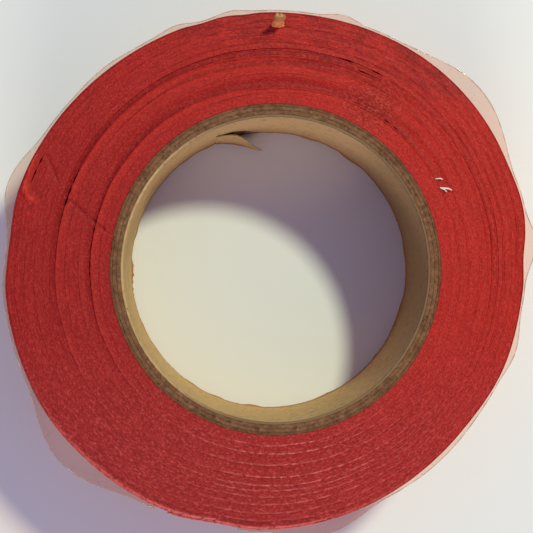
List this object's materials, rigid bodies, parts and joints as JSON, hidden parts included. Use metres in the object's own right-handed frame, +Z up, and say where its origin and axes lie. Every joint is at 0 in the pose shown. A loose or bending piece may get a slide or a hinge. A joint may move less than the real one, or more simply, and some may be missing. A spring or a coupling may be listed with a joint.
{
  "type": "electrical tape roll",
  "caption": "Roll of red vinyl electrical tape on a paper core with a peelable end and a loose clear wrapper band.",
  "frame": {"origin": "on the axis of the core's bore, at the plane the roll lies on", "axes": "+Z up along the core's bore; +X and +Y in the plane of the floor, with the tape's free end at about 246 to 256 degrees from +X towards +Y"},
  "size_m": [0.0669, 0.0659, 0.0193],
  "materials": {
    "liner_paper": "smooth kraft paper",
    "chipboard": "cut grey-brown chipboard",
    "cover_paper": "rough kraft paper",
    "red_vinyl": "matte red PVC, grainy on its cut edges",
    "clear_film": "thin clear wrapper film, glossy and slightly crinkled"
  },
  "bodies": {
    "roll": {"core_liner_ply": "liner_paper", "core_inner_body_ply": "chipboard", "core_outer_body_ply": "chipboard", "core_cover_ply": "cover_paper", "turns_01": "red_vinyl", "turns_02": "red_vinyl", "turns_03": "red_vinyl", "turns_04": "red_vinyl", "turns_05": "red_vinyl", "turns_06": "red_vinyl", "turns_07": "red_vinyl", "turns_08": "red_vinyl", "turns_09": "red_vinyl", "turns_10": "red_vinyl", "turns_11": "red_vinyl", "outer_turn": "red_vinyl"},
    "free_end": {"tape_end": "red_vinyl"},
    "wrapper": {"wrapper_band": "clear_film"}
  },
  "joints": [
    {"name": "tape_end_peel", "type": "hinge", "parent": "roll", "child": "free_end", "pos_m": [-0.00758, -0.03159, 0], "axis": [0, 0, 1], "range_deg": [0, 90]},
    {"name": "wrapper_lift", "type": "slide", "parent": "roll", "child": "wrapper", "axis": [0, 0, 1], "range_m": [0, 0.025]}
  ]
}
